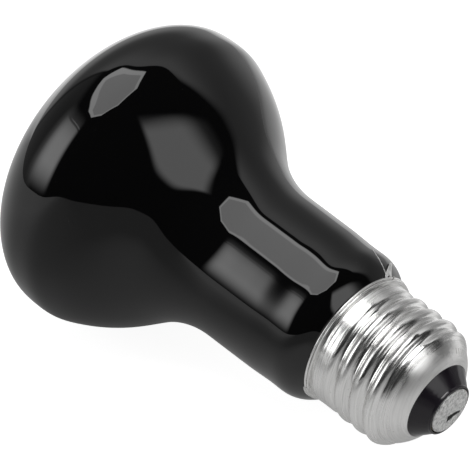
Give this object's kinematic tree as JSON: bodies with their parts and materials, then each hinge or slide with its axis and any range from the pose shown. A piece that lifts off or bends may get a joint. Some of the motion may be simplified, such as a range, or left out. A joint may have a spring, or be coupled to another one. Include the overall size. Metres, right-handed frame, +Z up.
{
  "type": "reptile heat lamp",
  "caption": "Black glass reflector heat lamp for a reptile tank, with a domed face, a straight neck and an Edison screw cap.",
  "frame": {"origin": "middle of the bounding box at its base, on the surface that the lamp lies on", "axes": "+Z up; the lamp lies on its side with its cap towards +X and its domed face towards -X, the face raised by 14.6 degrees"},
  "size_m": [0.0996, 0.0628, 0.062],
  "materials": {
    "black_glass": "very glossy opaque black glass",
    "aluminium": "bright rolled sheet, dulled on the crests",
    "insulator_glass": "glossy opaque black pressed glass",
    "brass": "plain",
    "solder": "mottled, scratched soft solder",
    "cement": "matt basing cement",
    "lead_wire": "tinned wire"
  },
  "bodies": {
    "root": {"glass_bulb": "black_glass", "screw_shell": "aluminium", "insulator": "insulator_glass", "contact_eyelet": "brass", "contact_solder": "solder", "basing_cement": "cement", "centre_lead": "lead_wire", "side_lead": "lead_wire", "side_solder": "solder"}
  },
  "joints": []
}
